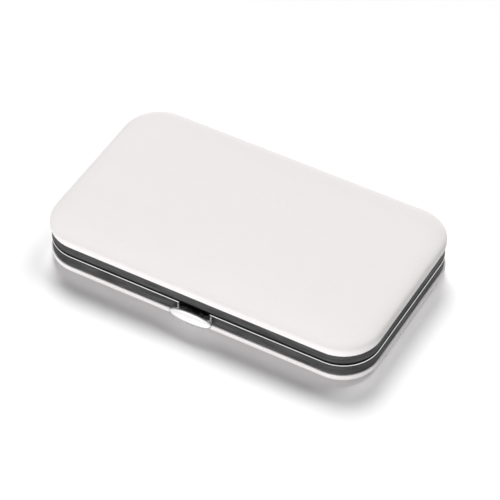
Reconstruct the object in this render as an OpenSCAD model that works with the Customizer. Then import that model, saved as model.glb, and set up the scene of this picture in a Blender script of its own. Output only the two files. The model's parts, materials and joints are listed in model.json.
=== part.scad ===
// Framed manicure set case: two padded shells held in channel frames,
// hinged at the back and closed at the front by a push clasp.
// Millimetres. X runs along the case, -Y is the front, +Z is up.
// The origin is the centre of the flat underside.

/* [Case] */
// Length over the frames
case_l = 116; // [112:0.5:140]
// Width over the frames, front to back
case_w = 67.3; // [66:0.1:84]
// Outer radius of the frame corners
corner_r = 12.6; // [11:0.1:18]
// Height of the lower frame band
lower_band = 4.4; // [4.3:0.1:6]
// Height of the upper frame band
upper_band = 4.05; // [3.8:0.05:6]
// Rise of each padded cover above its band
crown_h = 4.2; // [3.8:0.1:6]
// Fullness of the padded crown, 2 is round and 4 is square
crown_fullness = 4.2; // [3.3:0.1:5]
// Gap between the two closed frames
part_gap = 0.15; // [0.1:0.01:0.3]

/* [Frames] */
// Thickness of the frame sheet
wall = 0.8; // [0.7:0.05:1]
// Clear width of the channel that holds the shell's edge
channel_w = 2; // [1.95:0.05:2.6]
// How far the shell and leather edges go into the channel
tuck = 1.2; // [0.8:0.05:1.3]
// Height of the polished lip along the mouth
lip_h = 0.45; // [0.4:0.05:0.8]
// How far the polished lip stands proud of the band
lip_proud = 0.15; // [0.1:0.01:0.3]

/* [Shell layers] */
// Thickness of the leather
leather_t = 0.7; // [0.5:0.05:0.75]
// Thickness of the foam under the leather
foam_t = 1.2; // [0.6:0.1:1.3]
// Thickness of the moulded shell
shell_t = 0.8; // [0.6:0.05:0.85]
// Thickness of the lining
lining_t = 0.32; // [0.2:0.02:0.34]
// Clearance between one layer and the next
layer_gap = 0.05; // [0.03:0.01:0.06]

/* [Hinges] */
// Distance of each hinge from the middle of the case
hinge_x = 32; // [24:0.5:36]
// Width of one hinge
hinge_w = 9.4; // [8.5:0.1:12]
// Thickness of a hinge leaf
leaf_t = 0.6; // [0.5:0.05:0.7]
// Radius of the hinge pin
pin_r = 0.7; // [0.6:0.02:0.75]
// Distance of the hinge axis behind the frames
axis_out = 1.2; // [1.1:0.05:1.5]
// Running clearance around the hinge pin
pin_fit = 0.03; // [0.02:0.005:0.05]
// Radius of the hinge rivets
rivet_r = 0.5; // [0.4:0.02:0.55]

/* [Clasp] */
// Length of the almond knob
knob_l = 15.1; // [12:0.1:16]
// Thickness of the almond knob at its middle
knob_d = 4; // [3.6:0.05:4.22]
// Gap between the knob and the face of the frame
knob_gap = 0.47; // [0.4:0.01:0.6]
// Travel of the knob when it is pushed in
push_travel = 0.85; // [0.75:0.05:0.9]
// Half of the length of the notch behind the knob
notch_half = 5.6; // [5.4:0.1:7]
// Width of the tongue that carries the knob
tongue_w = 6; // [4:0.1:6.4]
// Thickness of the tongue
tongue_t = 1.6; // [1.2:0.05:1.7]
// Thickness of the spring leaf
spring_t = 0.3; // [0.2:0.02:0.35]
// Length of the spring leaf
spring_l = 24; // [22:0.5:28]
// Clearance around the tongue where it slides
slide_fit = 0.08; // [0.05:0.01:0.12]

/* [Tool tray] */
// Gap between the tray and the frame
tray_gap = 0.4; // [0.3:0.05:0.8]
// Height of the tray's top below the mouth of the case
tray_drop = 0.5; // [0.3:0.05:1]
// Thickness of the tray's floor under the recesses
tray_floor = 0.9; // [0.7:0.05:1.2]
// Height at which the tray rests above the lining's floor
tray_seat = 0.3; // [0.3:0.05:0.6]
// Clearance between an implement and its recess
tool_gap = 0.4; // [0.3:0.05:0.5]

/* [Implements] */
// Room left in the tray beyond the scissors' tips
scissors_room = 9.8; // [8:0.1:16]
// Thickness of one scissor half
blade_t = 1.3; // [1:0.05:1.5]
// Length of the nail clipper
clipper_l = 50; // [44:0.5:52]
// Width of the nail clipper
clipper_w = 9.6; // [8.5:0.1:10]
// Thickness of the clipper's steel
clipper_t = 1.1; // [0.9:0.05:1.2]
// Room left in the tray beyond the tweezers' tips
tweezers_room = 16.8; // [10:0.1:24]
// Width of the tweezers' arms
tweezers_w = 7.6; // [6:0.1:7.8]
// Thickness of a tweezers' arm
tweezers_t = 0.75; // [0.6:0.05:0.9]
// How far the tweezers' arms stand apart
tweezers_spread = 3.6; // [2.6:0.1:3.8]
// Room left in the tray beyond the nail file's point
file_room = 4.8; // [1:0.1:14]
// Width of the nail file
file_w = 6.2; // [5:0.1:6.4]
// Thickness of the nail file
file_t = 0.9; // [0.7:0.05:1.1]
// Length of the nail file's handle
file_handle_l = 32; // [26:0.5:40]
// Thickness of the nail file's handle
file_handle_t = 2.7; // [2.3:0.05:3]
// Gap along the tray between the scissors' bows and the cuticle pusher
pusher_room = 8.8; // [7:0.1:14]
// Radius of the cuticle pusher's handle
pusher_r = 1.7; // [1.4:0.05:1.9]
// Width of the cuticle pusher's spade
spade_w = 5.6; // [4.6:0.1:6]

/* [Hidden] */
$fn = 64;

crown_steps = 9;
core_r = 0.4;
frame_d = channel_w + 2 * wall;
z_part = crown_h + lower_band;
z_top_edge = z_part + part_gap + upper_band;
axis_z = z_part + part_gap / 2;
axis_y = case_w / 2 + axis_out;
edge_break = 0.25;

// Insets of the layers from the face of the frame
cover_inset = 0.1;
flange_inset = wall + layer_gap;
shell_inset = flange_inset + leather_t + layer_gap;
lining_inset = shell_inset + shell_t + layer_gap;
// Heights of the layers' crowns above the edge of the band
foam_rise = crown_h - leather_t - layer_gap;
shell_rise = foam_rise - foam_t - layer_gap;
lining_rise = shell_rise - shell_t - layer_gap;

barrel_r = wall + leaf_t + part_gap / 2;
relief_r = barrel_r + 0.1;
knuckle_gap = 0.15;
knuckle_l = (hinge_w - 2 * knuckle_gap) / 3;
pad_clear = 0.1;
head_h = 0.35;
head_over = 0.3;
rivet_fit = 0.02;
rivet_dx = hinge_w / 2 - 1.8;
rivet_inset = wall + channel_w / 2;

knob_r = knob_d / 2;
knob_fullness = 2.15;
knob_steps = 20;
knob_y = -case_w / 2 - knob_gap - knob_r;
clasp_z = z_part - lower_band / 2;
stud_r = 1.1;
stop_t = 0.6;
stop_over = 1.2;
stop_gap = 0.05;
spring_h = 1.8;
spring_gap = 0.1;
spring_inset = frame_d + stop_gap + stop_t + spring_gap;
hook_w = 5;
hook_bite = 0.55;
hook_z = z_part + part_gap + wall + 0.45;
hook_t = 0.5;
window_gap = 0.2;
clasp_rivet_r = 0.45;
clasp_rivet_x = spring_l / 2 - 1.3;

tray_inset = frame_d + tray_gap;
tray_z0 = crown_h - lining_rise + lining_t + tray_seat;
tray_z1 = z_part - tray_drop;
tray_half_l = case_l / 2 - tray_inset;
tray_front = -case_w / 2 + tray_inset;
recess_z = tray_z0 + tray_floor;
tool_z = recess_z + layer_gap;
tray_back = case_w / 2 - tray_inset;
tool_margin = 3.6;
back_room = 4.7;
rib = 0.6;
wide_rib = 2;
scoop_r = 7.5;
scoop_depth = 2.2;
bay_clear = 1.1;
clasp_bay_l = spring_l + 3;
clasp_bay_w = spring_inset + spring_t + push_travel + bay_clear - tray_inset;

bow_bar = 2.3;
bow_straight = 10;
bow_split = 1.2;
blade_w = 4.6;
blade_lap = 0.35;
screw_r = 1.6;
screw_shaft_r = 1.1;
screw_head_h = 0.7;
clipper_pin_x = 8.5;
clipper_pin_r = 1;
clipper_head_r = 1.7;
clipper_rise = 2.6 + clipper_t;
clipper_z2 = clipper_rise + clipper_t + 0.4;
lever_t = 1;
lever_w = clipper_w - 1.2;
lever_pad = 3.1;
tang_l = 10;
tang_w = 3.2;
tang_fit = 0.05;
ferrule_l = 5;
spade_l = 9;
spade_t = 0.8;

// Places of the implements, stacked from the front of the tray to its back.
// The long ones and the scissors' bows take their size from the room in the tray.
tool_room = 2 * (tray_half_l - tool_margin);
scissors_l = tool_room - scissors_room;
tweezers_l = tool_room - tweezers_room;
file_l = tool_room - file_room;
file_x = -tray_half_l + tool_margin;
file_y = tray_front + clasp_bay_w + rib + tool_gap + file_w / 2;
tweezers_x = -tray_half_l + tool_margin;
tweezers_y = file_y + file_w / 2 + 2 * tool_gap + rib + tweezers_w / 2;
scissors_x = -tray_half_l + tool_margin;
bows_y0 = tweezers_y + tweezers_w / 2 + 2 * tool_gap + rib;
bow_r = ((tray_back - back_room - bows_y0) / 2 - bow_split) / 2;
bow_y = bow_r + bow_split;
bow_l = 2 * bow_r + bow_straight;
scissors_y = bows_y0 + bow_r + bow_y;
pivot_x = scissors_x + 0.56 * scissors_l;
blade_reach = blade_w + blade_lap + 2 * tool_gap + wide_rib;
pusher_x = scissors_x + bow_l + pusher_room;
pusher_l = tray_half_l - tool_margin - pusher_x;
pusher_y = scissors_y - blade_reach - spade_w / 2;
clipper_x = tray_half_l - tool_margin - clipper_l;
clipper_y = scissors_y + blade_reach + clipper_w / 2;
// Lengths along the clipper: the unit of its turned-up nose, and the bends of the jaws and lever
nose = clipper_rise / 3.7;
jaw_flat = 0.24 * clipper_l;
jaw_bend = 0.36 * clipper_l;
lever_crest = 0.6 * clipper_l;
lever_end = 0.96 * clipper_l;
over = 1;
bleed = 0.01;

// ---- shared forms

// Plan outline of the case, drawn in from the face of the frame
module plan(inset) {
    l = case_l - 2 * inset;
    w = case_w - 2 * inset;
    r = max(corner_r - inset, core_r);
    square([l - 2 * r, w], center = true);
    square([l, w - 2 * r], center = true);
    for (sx = [-1, 1], sy = [-1, 1])
        translate([sx * (l / 2 - r), sy * (w / 2 - r)])
            circle(r);
}

// Straight-sided ring or slab that follows the plan
module wall_ring(outer_inset, inner_inset, z0, z1) {
    translate([0, 0, z0])
        linear_extrude(z1 - z0)
            difference() {
                plan(outer_inset);
                plan(inner_inset);
            }
}

// Sweep of a section round the case. A section's points are [inset, height].
module swept(points) {
    for (mx = [0, 1], my = [0, 1])
        mirror([mx, 0, 0])
            mirror([0, my, 0])
                translate([case_l / 2 - corner_r, case_w / 2 - corner_r, 0])
                    rotate_extrude(angle = 90)
                        polygon([for (p = points) [corner_r - p[0], p[1]]]);
    for (my = [0, 1])
        mirror([0, my, 0])
            rotate([90, 0, 90])
                linear_extrude(case_l - 2 * corner_r, center = true)
                    polygon([for (p = points) [case_w / 2 - p[0], p[1]]]);
    for (mx = [0, 1])
        mirror([mx, 0, 0])
            rotate([90, 0, 0])
                linear_extrude(case_w - 2 * corner_r, center = true)
                    polygon([for (p = points) [case_l / 2 - p[0], p[1]]]);
}

// Section of a padded crown that starts at an inset and rises to a height,
// over a straight edge of some depth
function crown_section(inset, rise, depth) =
    let (width = corner_r - core_r - inset, power = 2 / crown_fullness)
    concat(
        [[corner_r, -depth]],
        depth > 0 ? [[inset, -depth]] : [],
        [for (i = [0:crown_steps])
            let (a = 90 * i / crown_steps)
            [inset + width * (1 - pow(cos(a), power)), rise * pow(sin(a), power)]],
        [[corner_r, rise]]
    );

// Solid padded form over the plan
module crown(inset, rise, depth = 0) {
    swept(crown_section(inset, rise, depth));
    translate([0, 0, -depth])
        linear_extrude(rise + depth)
            square([case_l - 2 * corner_r + bleed, case_w - 2 * corner_r + bleed], center = true);
}

// Puts a half that is drawn opening upward under or over the mouth
module as_lower() {
    translate([0, 0, z_part])
        mirror([0, 0, 1])
            children();
}

module as_upper() {
    translate([0, 0, z_part + part_gap])
        children();
}

module along_x(x, y, z, r, l) {
    translate([x - l / 2, y, z])
        rotate([0, 90, 0])
            cylinder(h = l, r = r);
}

module along_y(x, y0, y1, z, r) {
    translate([x, y0, z])
        rotate([-90, 0, 0])
            cylinder(h = y1 - y0, r = r);
}

// ---- frames, drawn with the mouth at zero and the band rising from it

function channel_section(band) = [
    [edge_break, 0], [frame_d, 0], [frame_d, band], [frame_d - wall, band],
    [frame_d - wall, wall], [wall, wall], [wall, band], [edge_break, band],
    [0, band - edge_break], [0, edge_break]
];

// Polished lip, a low bead along the mouth
function lip_section() = [
    [wall / 2, 0], [wall / 2, lip_h], [0, lip_h], [-lip_proud * 0.75, lip_h * 0.8],
    [-lip_proud, lip_h / 2], [-lip_proud * 0.75, lip_h * 0.2], [0, 0]
];

// Knuckle clearance, leaf slots and rivet holes of both hinges
module hinge_cuts(band, own) {
    for (sx = [-1, 1]) {
        along_x(sx * hinge_x, axis_y, -part_gap / 2, relief_r, hinge_w + 2 * pad_clear);
        for (k = own)
            translate([
                sx * hinge_x + k * (knuckle_l + knuckle_gap) - knuckle_l / 2 - pad_clear,
                case_w / 2 - wall - bleed, wall
            ])
                cube([knuckle_l + 2 * pad_clear, wall + over, leaf_t + pad_clear]);
        for (dx = [-1, 1])
            translate([sx * hinge_x + dx * rivet_dx, case_w / 2 - rivet_inset, -over])
                cylinder(h = wall + 2 * over, r = rivet_r + rivet_fit);
    }
}

module lower_frame() {
    color([0.2, 0.2, 0.21])
        difference() {
            union() {
                as_lower() {
                    swept(channel_section(lower_band));
                    swept(lip_section());
                }
                // Polished cheeks beside the notch
                for (sx = [-1, 1])
                    translate([sx * (notch_half + lip_h / 2), wall / 2 - case_w / 2 - lip_proud / 2, crown_h])
                        cylinder(h = lower_band - lip_h / 2, r = wall / 2 + lip_proud / 2);
            }
            // Notch behind the knob
            translate([-notch_half, -case_w / 2 - over, crown_h - over])
                cube([2 * notch_half, wall + 1.2 * over, lower_band + 2 * over]);
            // Window for the tongue in the inner wall
            translate([
                -tongue_w / 2 - slide_fit, frame_d - wall - over / 2 - case_w / 2,
                clasp_z - tongue_t / 2 - slide_fit
            ])
                cube([tongue_w + 2 * slide_fit, wall + over, tongue_t + 2 * slide_fit]);
            // Holes for the spring's rivets
            for (sx = [-1, 1])
                along_y(
                    sx * clasp_rivet_x, frame_d - wall - over / 2 - case_w / 2,
                    frame_d + over / 2 - case_w / 2, clasp_z, clasp_rivet_r + rivet_fit
                );
            as_lower()
                hinge_cuts(lower_band, [-1, 1]);
        }
}

module upper_frame() {
    color([0.2, 0.2, 0.21])
        difference() {
            as_upper()
                swept(channel_section(upper_band));
            // Window that the hook catches in
            translate([
                -hook_w / 2 - window_gap, frame_d - wall - over / 2 - case_w / 2,
                hook_z - window_gap / 2
            ])
                cube([hook_w + 2 * window_gap, wall + over, hook_t + window_gap]);
            as_upper()
                hinge_cuts(upper_band, [0]);
        }
}

// ---- padded halves, drawn with the edge of the band at zero

// Hollow crowned layer with a straight edge that goes into the channel
module layer(inset, rise, thickness, depth) {
    difference() {
        crown(inset, rise, depth);
        crown(inset + thickness, rise - thickness, depth + over);
    }
}

module shell_half() {
    layer(shell_inset, shell_rise, shell_t, tuck);
}

module lining_half() {
    layer(lining_inset, lining_rise, lining_t, tuck);
}

module padding_half() {
    translate([0, 0, layer_gap])
        difference() {
            translate([0, 0, leather_t])
                crown(cover_inset + leather_t + layer_gap, foam_rise - leather_t - layer_gap);
            translate([0, 0, -layer_gap])
                crown(shell_inset - layer_gap, shell_rise + layer_gap);
        }
}

// Leather over the foam, turned in at its edge and tucked into the channel
module cover_half() {
    difference() {
        union() {
            translate([0, 0, layer_gap])
                crown(cover_inset, crown_h - layer_gap);
            wall_ring(flange_inset, flange_inset + leather_t, -tuck, layer_gap + bleed);
        }
        translate([0, 0, layer_gap + leather_t])
            crown(cover_inset + leather_t, crown_h - 2 * leather_t - layer_gap);
        linear_extrude(layer_gap + leather_t + bleed)
            plan(flange_inset + leather_t);
    }
}

// Room for the clasp's tongue in the edges of the lower half
module clasp_room() {
    translate([-notch_half - over, -case_w / 2 + wall / 2, crown_h])
        cube([2 * (notch_half + over), frame_d, lower_band]);
}

module lower_at_edge() {
    translate([0, 0, crown_h])
        mirror([0, 0, 1])
            children();
}

module upper_at_edge() {
    translate([0, 0, z_top_edge])
        children();
}

module lower_shell() {
    color([0.13, 0.13, 0.14])
        lower_at_edge()
            shell_half();
}

module upper_shell() {
    color([0.13, 0.13, 0.14])
        upper_at_edge()
            shell_half();
}

module lower_padding() {
    color([0.93, 0.9, 0.78])
        lower_at_edge()
            padding_half();
}

module upper_padding() {
    color([0.93, 0.9, 0.78])
        upper_at_edge()
            padding_half();
}

module lower_cover() {
    color([0.95, 0.94, 0.94])
        difference() {
            lower_at_edge()
                cover_half();
            clasp_room();
        }
}

module upper_cover() {
    color([0.95, 0.94, 0.94])
        upper_at_edge()
            cover_half();
}

module lower_lining() {
    color([0.09, 0.09, 0.1])
        lower_at_edge()
            lining_half();
}

module upper_lining() {
    color([0.09, 0.09, 0.1])
        upper_at_edge()
            lining_half();
}

// ---- hinges

// Leaf that lies in the channel, with fingers out to its own knuckles
module hinge_leaf(x, own) {
    difference() {
        union() {
            translate([x - hinge_w / 2, case_w / 2 - wall - channel_w + pad_clear, wall])
                cube([hinge_w, channel_w - 2 * pad_clear, leaf_t]);
            for (k = own) {
                kx = x + k * (knuckle_l + knuckle_gap);
                translate([kx - knuckle_l / 2, case_w / 2 - wall - 2 * pad_clear, wall])
                    cube([knuckle_l, wall + axis_out + 2 * pad_clear, leaf_t]);
                along_x(kx, axis_y, -part_gap / 2, barrel_r, knuckle_l);
            }
        }
        along_x(x, axis_y, -part_gap / 2, pin_r + pin_fit, hinge_w + over);
        for (dx = [-1, 1])
            translate([x + dx * rivet_dx, case_w / 2 - rivet_inset, wall - over])
                cylinder(h = leaf_t + 2 * over, r = rivet_r + rivet_fit);
    }
}

module hinge_pin(x) {
    along_x(x, axis_y, axis_z, pin_r, hinge_w + 2 * layer_gap + bleed);
    for (sx = [-1, 1])
        along_x(x + sx * (hinge_w / 2 + layer_gap + head_h / 2), axis_y, axis_z, pin_r + head_over, head_h);
}

module hinge_rivets() {
    for (sx = [-1, 1], dx = [-1, 1])
        translate([sx * hinge_x + dx * rivet_dx, case_w / 2 - rivet_inset, 0]) {
            cylinder(h = wall + leaf_t + rivet_fit + bleed, r = rivet_r);
            translate([0, 0, wall + leaf_t + rivet_fit])
                cylinder(h = head_h, r = rivet_r + head_over);
        }
}

module left_hinge_lower_leaf() {
    color([0.62, 0.63, 0.65])
        as_lower()
            hinge_leaf(-hinge_x, [-1, 1]);
}

module right_hinge_lower_leaf() {
    color([0.62, 0.63, 0.65])
        as_lower()
            hinge_leaf(hinge_x, [-1, 1]);
}

module left_hinge_upper_leaf() {
    color([0.62, 0.63, 0.65])
        as_upper()
            hinge_leaf(-hinge_x, [0]);
}

module right_hinge_upper_leaf() {
    color([0.62, 0.63, 0.65])
        as_upper()
            hinge_leaf(hinge_x, [0]);
}

module left_hinge_pin() {
    color([0.75, 0.76, 0.78])
        hinge_pin(-hinge_x);
}

module right_hinge_pin() {
    color([0.75, 0.76, 0.78])
        hinge_pin(hinge_x);
}

module lower_hinge_rivets() {
    color([0.7, 0.71, 0.73])
        as_lower()
            hinge_rivets();
}

module upper_hinge_rivets() {
    color([0.7, 0.71, 0.73])
        as_upper()
            hinge_rivets();
}

// ---- clasp

function knob_radius(x) =
    knob_r * pow(max(1 - pow(abs(2 * x / knob_l), knob_fullness), 0), 1 / knob_fullness);

module clasp_knob() {
    color([0.9, 0.9, 0.91])
        difference() {
            union() {
                translate([0, knob_y, clasp_z])
                    rotate([0, 90, 0])
                        rotate_extrude()
                            polygon([for (i = [0:knob_steps])
                                let (x = -knob_l / 2 * cos(180 * i / knob_steps))
                                [knob_radius(x), x]]);
                // Neck behind the knob
                along_y(0, knob_y, -case_w / 2 + wall / 2, clasp_z, stud_r + head_over);
            }
            along_y(0, knob_y + knob_r / 2, -case_w / 2 + wall, clasp_z, stud_r + rivet_fit);
        }
}

// Tongue that slides in the frame's window, with its stop behind the wall
module clasp_tongue() {
    color([0.6, 0.61, 0.63]) {
        y_neck = -case_w / 2 + wall / 2 + layer_gap;
        y_wall = -case_w / 2 + frame_d;
        translate([-tongue_w / 2, y_neck, clasp_z - tongue_t / 2])
            cube([tongue_w, y_wall + stop_gap + stop_t - y_neck, tongue_t]);
        translate([-tongue_w / 2 - stop_over, y_wall + stop_gap, clasp_z - tongue_t / 2])
            cube([tongue_w + 2 * stop_over, stop_t, tongue_t]);
        // Stud that the knob is pressed on
        along_y(0, knob_y + knob_r / 2 + layer_gap, y_neck + bleed, clasp_z, stud_r);
    }
}

// Spring leaf, joggled away from the wall over the tongue's stop
module spring_hook() {
    y_wall = -case_w / 2 + frame_d;
    y_leaf = -case_w / 2 + spring_inset;
    foot = clasp_rivet_x - 1.3;
    bend = tongue_w / 2 + stop_over + 0.6;
    color([0.68, 0.69, 0.72])
        difference() {
            union() {
                translate([0, 0, clasp_z - spring_h / 2])
                    linear_extrude(spring_h)
                        polygon([
                            [-spring_l / 2, y_wall + layer_gap], [-foot, y_wall + layer_gap],
                            [-bend, y_leaf], [bend, y_leaf], [foot, y_wall + layer_gap],
                            [spring_l / 2, y_wall + layer_gap],
                            [spring_l / 2, y_wall + layer_gap + spring_t],
                            [foot + spring_t / 3, y_wall + layer_gap + spring_t],
                            [bend + spring_t / 3, y_leaf + spring_t],
                            [-bend - spring_t / 3, y_leaf + spring_t],
                            [-foot - spring_t / 3, y_wall + layer_gap + spring_t],
                            [-spring_l / 2, y_wall + layer_gap + spring_t]
                        ]);
                // Hook that rises over the mouth and turns out into the lid's window
                translate([-hook_w / 2, y_leaf, clasp_z])
                    cube([hook_w, spring_t, hook_z + hook_t - clasp_z]);
                translate([-hook_w / 2, -case_w / 2 + frame_d - hook_bite, hook_z])
                    cube([hook_w, y_leaf + spring_t - y_wall + hook_bite, hook_t]);
            }
            for (sx = [-1, 1])
                along_y(sx * clasp_rivet_x, y_wall - over, y_wall + over, clasp_z, clasp_rivet_r + rivet_fit);
        }
}

module clasp_rivets() {
    y0 = -case_w / 2 + frame_d - wall - rivet_fit;
    y1 = -case_w / 2 + frame_d + layer_gap + spring_t + rivet_fit;
    color([0.7, 0.71, 0.73])
        for (sx = [-1, 1]) {
            along_y(sx * clasp_rivet_x, y0 - bleed, y1 + bleed, clasp_z, clasp_rivet_r);
            along_y(sx * clasp_rivet_x, y0 - head_h, y0, clasp_z, clasp_rivet_r + head_over);
            along_y(sx * clasp_rivet_x, y1, y1 + head_h, clasp_z, clasp_rivet_r + head_over);
        }
}

// ---- implements, lying in the tray

// Flat shape with round ends, drawn along X from its left end
module stadium(l, r) {
    translate([r, -r])
        square([l - 2 * r, 2 * r]);
    for (x = [r, l - r])
        translate([x, 0])
            circle(r);
}

function ease(t) = t * t * (3 - 2 * t);

// Edges of one scissor half from its bow to its tip, as [x, low, high] with the pivot at zero
function half_edges() =
    let (back = scissors_x - pivot_x + bow_l - bow_bar * 0.65, tip = scissors_x - pivot_x + scissors_l)
    concat(
        [for (i = [0:10])
            let (t = i / 10, mid = -bow_y * 0.62 * (1 - ease(t)))
            [back * (1 - t) - 4 * t, mid - 1.7 - 1.3 * t, mid + 1.7 + 1.3 * t]],
        [for (i = [0:10])
            let (t = i / 10)
            [4 + (tip - 4) * t, -blade_lap, blade_w * pow(1 - t, 0.7) + blade_lap]]
    );

module half_plan(grow) {
    e = half_edges();
    translate([scissors_x - pivot_x - grow, -bow_y])
        stadium(bow_l + 2 * grow, bow_r + grow);
    polygon(concat(
        [for (p = e) [p[0], p[1] - grow]],
        [[e[len(e) - 1][0] + grow, -grow]],
        [for (i = [len(e) - 1:-1:0]) [e[i][0], e[i][2] + grow]]
    ));
}

// Inside of a bow
module bow_hole(grow) {
    translate([scissors_x - pivot_x + bow_bar - grow, -bow_y])
        stadium(bow_l - 2 * (bow_bar - grow), bow_r - bow_bar + grow);
}

// Half with its bow on the front side and its blade on the back side
module scissor_half(z) {
    difference() {
        union() {
            translate([0, 0, z])
                linear_extrude(blade_t)
                    half_plan(0);
            // Bow, as thick as both halves
            translate([scissors_x - pivot_x, -bow_y, tool_z])
                linear_extrude(2 * blade_t + layer_gap)
                    stadium(bow_l, bow_r);
        }
        translate([0, 0, tool_z - over])
            linear_extrude(2 * (blade_t + over))
                bow_hole(0);
        translate([0, 0, tool_z - over])
            cylinder(h = 2 * (blade_t + over), r = screw_shaft_r + rivet_fit);
    }
}

module lower_scissor_half() {
    color([0.78, 0.79, 0.8])
        translate([pivot_x, scissors_y, 0])
            scissor_half(tool_z);
}

module upper_scissor_half() {
    color([0.78, 0.79, 0.8])
        translate([pivot_x, scissors_y, 0])
            mirror([0, 1, 0])
                scissor_half(tool_z + blade_t + layer_gap);
}

module scissor_screw() {
    head_z = 2 * (blade_t + layer_gap);
    color([0.7, 0.71, 0.72])
        translate([pivot_x, scissors_y, tool_z])
            difference() {
                union() {
                    cylinder(h = head_z + bleed, r = screw_shaft_r);
                    translate([0, 0, head_z])
                        cylinder(h = screw_head_h, r = screw_r);
                }
                // Slot for a driver
                translate([-screw_r - over, -0.2, head_z + screw_head_h / 2])
                    cube([2 * (screw_r + over), 0.4, over]);
            }
}

// Side shape pushed across the clipper and trimmed to its plan
module clipper_strip(w) {
    intersection() {
        rotate([90, 0, 0])
            linear_extrude(clipper_w + 2 * over, center = true)
                children();
        translate([0, 0, -over])
            linear_extrude(clipper_z2 + 2 * lever_t + 3 * over) {
                translate([0, -w / 2])
                    square([clipper_l - w / 2, w]);
                translate([clipper_l - w / 2, 0])
                    circle(w / 2);
            }
    }
}

module clipper_at() {
    translate([clipper_x, clipper_y, tool_z])
        children();
}

module clipper_pin_hole() {
    translate([clipper_pin_x, 0, -over])
        cylinder(h = clipper_z2 + 3 * over, r = clipper_pin_r + slide_fit);
}

// Strip that turns up into the cutting edge at its left end
module clipper_lower_jaw() {
    edge = clipper_rise - 0.95;
    color([0.8, 0.81, 0.82])
        clipper_at()
            difference() {
                clipper_strip(clipper_w)
                    polygon([
                        [clipper_l, 0], [4 * nose, 0], [2.4 * nose, 0.25 * nose], [1.1 * nose, 0.9 * nose],
                        [0.3 * nose, 1.8 * nose], [0, edge], [0.45 * nose, edge + 0.1 * nose],
                        [nose, clipper_t + 1.1 * nose], [1.8 * nose, clipper_t + 0.5 * nose],
                        [2.9 * nose, clipper_t + 0.1 * nose], [4.4 * nose, clipper_t], [clipper_l, clipper_t]
                    ]);
                clipper_pin_hole();
            }
}

module clipper_upper_jaw() {
    z1 = clipper_t + layer_gap;
    color([0.8, 0.81, 0.82])
        clipper_at()
            difference() {
                clipper_strip(clipper_w)
                    polygon([
                        [clipper_l, z1], [clipper_l - jaw_flat, z1], [clipper_l - jaw_bend, z1 + 0.3 * nose],
                        [jaw_flat, clipper_rise - 0.1 * nose], [7 * nose, clipper_rise + 0.3 * nose],
                        [3.6 * nose, clipper_rise + 0.2 * nose], [1.6 * nose, clipper_rise - 0.1 * nose],
                        [0.5 * nose, clipper_rise - 0.6 * nose], [0, clipper_rise - 0.4 * nose],
                        [0.4 * nose, clipper_rise + 0.4 * nose], [1.6 * nose, clipper_rise + clipper_t - 0.1 * nose],
                        [4 * nose, clipper_rise + clipper_t + 0.2 * nose],
                        [7 * nose, clipper_rise + clipper_t + 0.3 * nose],
                        [jaw_flat, clipper_rise + clipper_t - 0.1 * nose],
                        [clipper_l - jaw_bend, z1 + clipper_t + 0.3 * nose], [clipper_l - jaw_flat, z1 + clipper_t],
                        [clipper_l, z1 + clipper_t]
                    ]);
                clipper_pin_hole();
            }
}

// Lever folded flat over the upper jaw
module clipper_lever() {
    z = clipper_z2;
    end = lever_end;
    t = lever_t;
    pad = lever_pad;
    color([0.84, 0.85, 0.86])
        clipper_at()
            difference() {
                clipper_strip(lever_w)
                    polygon([
                        [clipper_pin_x - pad, z], [clipper_pin_x + pad, z], [jaw_bend, z + 0.5 * t],
                        [lever_crest, z + 0.7 * t], [end - 4 * t, z], [end - 0.4 * t, z - 0.6 * t],
                        [end, z + 0.1 * t], [end - 3.6 * t, z + t], [lever_crest, z + 1.7 * t],
                        [jaw_bend, z + 1.6 * t], [clipper_pin_x + pad, z + 1.4 * t],
                        [clipper_pin_x - pad + t, z + 1.4 * t], [clipper_pin_x - pad, z + 0.8 * t]
                    ]);
                clipper_pin_hole();
            }
}

module clipper_pin() {
    head_z = clipper_z2 + lever_t + 0.4 + layer_gap;
    color([0.7, 0.71, 0.72])
        clipper_at()
            translate([clipper_pin_x, 0, 0]) {
                cylinder(h = head_z + bleed, r = clipper_pin_r);
                translate([0, 0, head_z])
                    cylinder(h = 0.6, r = clipper_head_r);
                // Collar that holds the jaws apart
                translate([0, 0, clipper_t + layer_gap])
                    cylinder(h = 0.6, r = clipper_head_r);
            }
}

// Gap between the tweezers' arms, growing from the joined end and closing a little at the tips
function arm_gap(t) = tweezers_spread * sin(90 * pow(t, 0.6)) * (1 - 0.45 * ease(max(t - 0.7, 0) / 0.3));

module tweezers_plan(grow) {
    r = tweezers_w / 2;
    tip = 1.1 + grow;
    translate([r, 0])
        circle(r + grow);
    polygon([
        [r, -r - grow], [tweezers_l * 0.45, -r - grow], [tweezers_l + grow, -tip],
        [tweezers_l + grow, tip], [tweezers_l * 0.45, r + grow], [r, r + grow]
    ]);
}

// Two arms joined at the round end
module tweezers() {
    steps = 16;
    color([0.8, 0.81, 0.83])
        translate([tweezers_x, tweezers_y, tool_z])
            intersection() {
                rotate([90, 0, 0])
                    linear_extrude(tweezers_w + 2 * over, center = true)
                        difference() {
                            polygon(concat(
                                [[-over, 0], [tweezers_l + over, 0]],
                                [for (i = [steps:-1:0])
                                    [tweezers_l * i / steps, 2 * tweezers_t + arm_gap(i / steps)]],
                                [[-over, 2 * tweezers_t]]
                            ));
                            polygon(concat(
                                [for (i = [1:steps]) [tweezers_l * i / steps, tweezers_t]],
                                [[tweezers_l + 2 * over, tweezers_t],
                                 [tweezers_l + 2 * over, tweezers_t + arm_gap(1)]],
                                [for (i = [steps:-1:1]) [tweezers_l * i / steps, tweezers_t + arm_gap(i / steps)]]
                            ));
                        }
                translate([0, 0, -over])
                    linear_extrude(tweezers_spread + 2 * tweezers_t + 2 * over)
                        tweezers_plan(0);
            }
}

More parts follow.
